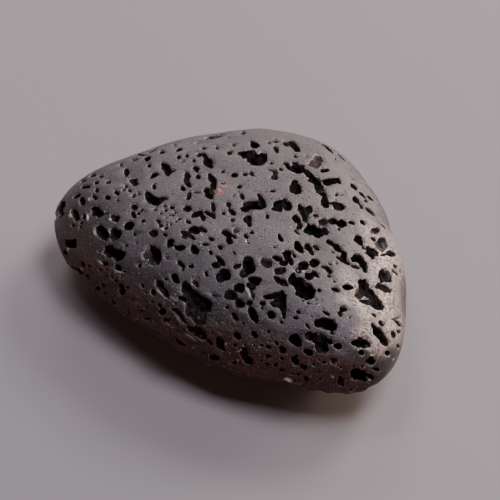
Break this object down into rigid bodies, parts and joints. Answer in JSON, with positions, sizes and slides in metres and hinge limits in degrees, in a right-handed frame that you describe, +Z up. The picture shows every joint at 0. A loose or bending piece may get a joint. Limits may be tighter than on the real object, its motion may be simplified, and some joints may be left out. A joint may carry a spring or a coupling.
{
  "type": "lava rock",
  "caption": "Smooth, flattened dark basalt pebble full of open vesicles, with a rounded triangular outline, a blunt nose and a worn flat it rests on.",
  "frame": {"origin": "on the resting plane, under the middle of the stone's outline", "axes": "+X along the longest extent, away from the narrow nose; +Z up, through the thickness"},
  "size_m": [0.0434, 0.042, 0.0153],
  "materials": {
    "basalt": "satin where worn smooth, rough inside the vesicles"
  },
  "bodies": {
    "root": {"stone": "basalt"}
  },
  "joints": []
}
